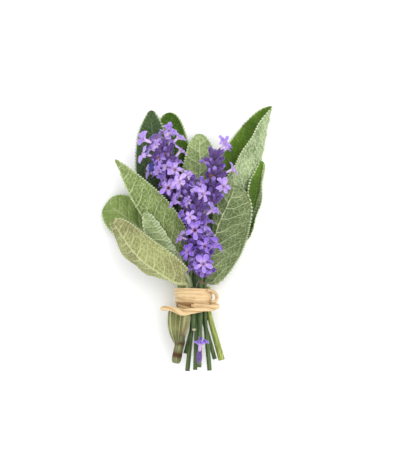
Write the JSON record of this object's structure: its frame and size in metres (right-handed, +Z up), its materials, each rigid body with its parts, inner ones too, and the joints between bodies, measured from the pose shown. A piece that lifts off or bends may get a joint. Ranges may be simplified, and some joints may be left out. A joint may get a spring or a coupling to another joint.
{
  "type": "fresh sage and lavender bundle",
  "caption": "Small posy of fresh sage leaves and flowering lavender, tied with raffia and lying flat.",
  "frame": {"origin": "middle of the footprint, on the surface that the bundle lies on", "axes": "+Y along the stems towards the leaf tips, +Z up from the surface it lies on"},
  "size_m": [0.074, 0.1164, 0.0273],
  "materials": {
    "sage_upper": "soft matt, finely netted leaf, its upper face",
    "sage_under": "pale felted leaf, its underside with raised veins",
    "sage_olive": "olive felted leaf, its underside with raised veins",
    "stalk": "satin ridged green stem with fine down",
    "young_stem": "satin yellow-green stem",
    "sage_stem": "matt, turning brown at its cut end",
    "corolla": "soft matt violet petal",
    "calyx": "dusky violet, ribbed and downy",
    "raffia": "fibrous straw, soft sheen"
  },
  "bodies": {
    "root": {"back_stem": "stalk", "corolla_01": "corolla", "corolla_02": "corolla", "corolla_03": "corolla", "corolla_04": "corolla", "corolla_05": "corolla", "corolla_06": "corolla", "corolla_07": "corolla", "corolla_08": "corolla", "corolla_09": "corolla", "corolla_10": "corolla", "corolla_11": "corolla", "corolla_12": "corolla", "corolla_13": "corolla", "corolla_14": "corolla", "corolla_15": "corolla", "corolla_16": "corolla", "corolla_17": "corolla", "corolla_18": "corolla", "corolla_19": "corolla", "corolla_20": "corolla", "corolla_21": "corolla", "dark_stem": "stalk", "lavender_front": "calyx", "lavender_left": "calyx", "lavender_right": "calyx", "lavender_stem": "stalk", "leaf_back_centre": "sage_under", "leaf_back_inner": "sage_upper", "leaf_back_left": "sage_upper", "leaf_left_front": "sage_olive", "leaf_left_low": "sage_upper", "leaf_left_small": "sage_under", "leaf_left_tall": "sage_under", "leaf_right_edge": "sage_under", "leaf_right_front": "sage_under", "leaf_right_tall": "sage_upper", "low_calyx": "calyx", "low_corolla": "corolla", "raffia_loop": "raffia", "raffia_strand": "raffia", "raffia_winding": "raffia", "sage_stem": "sage_stem", "short_stem": "young_stem", "young_stem": "young_stem"}
  },
  "joints": []
}
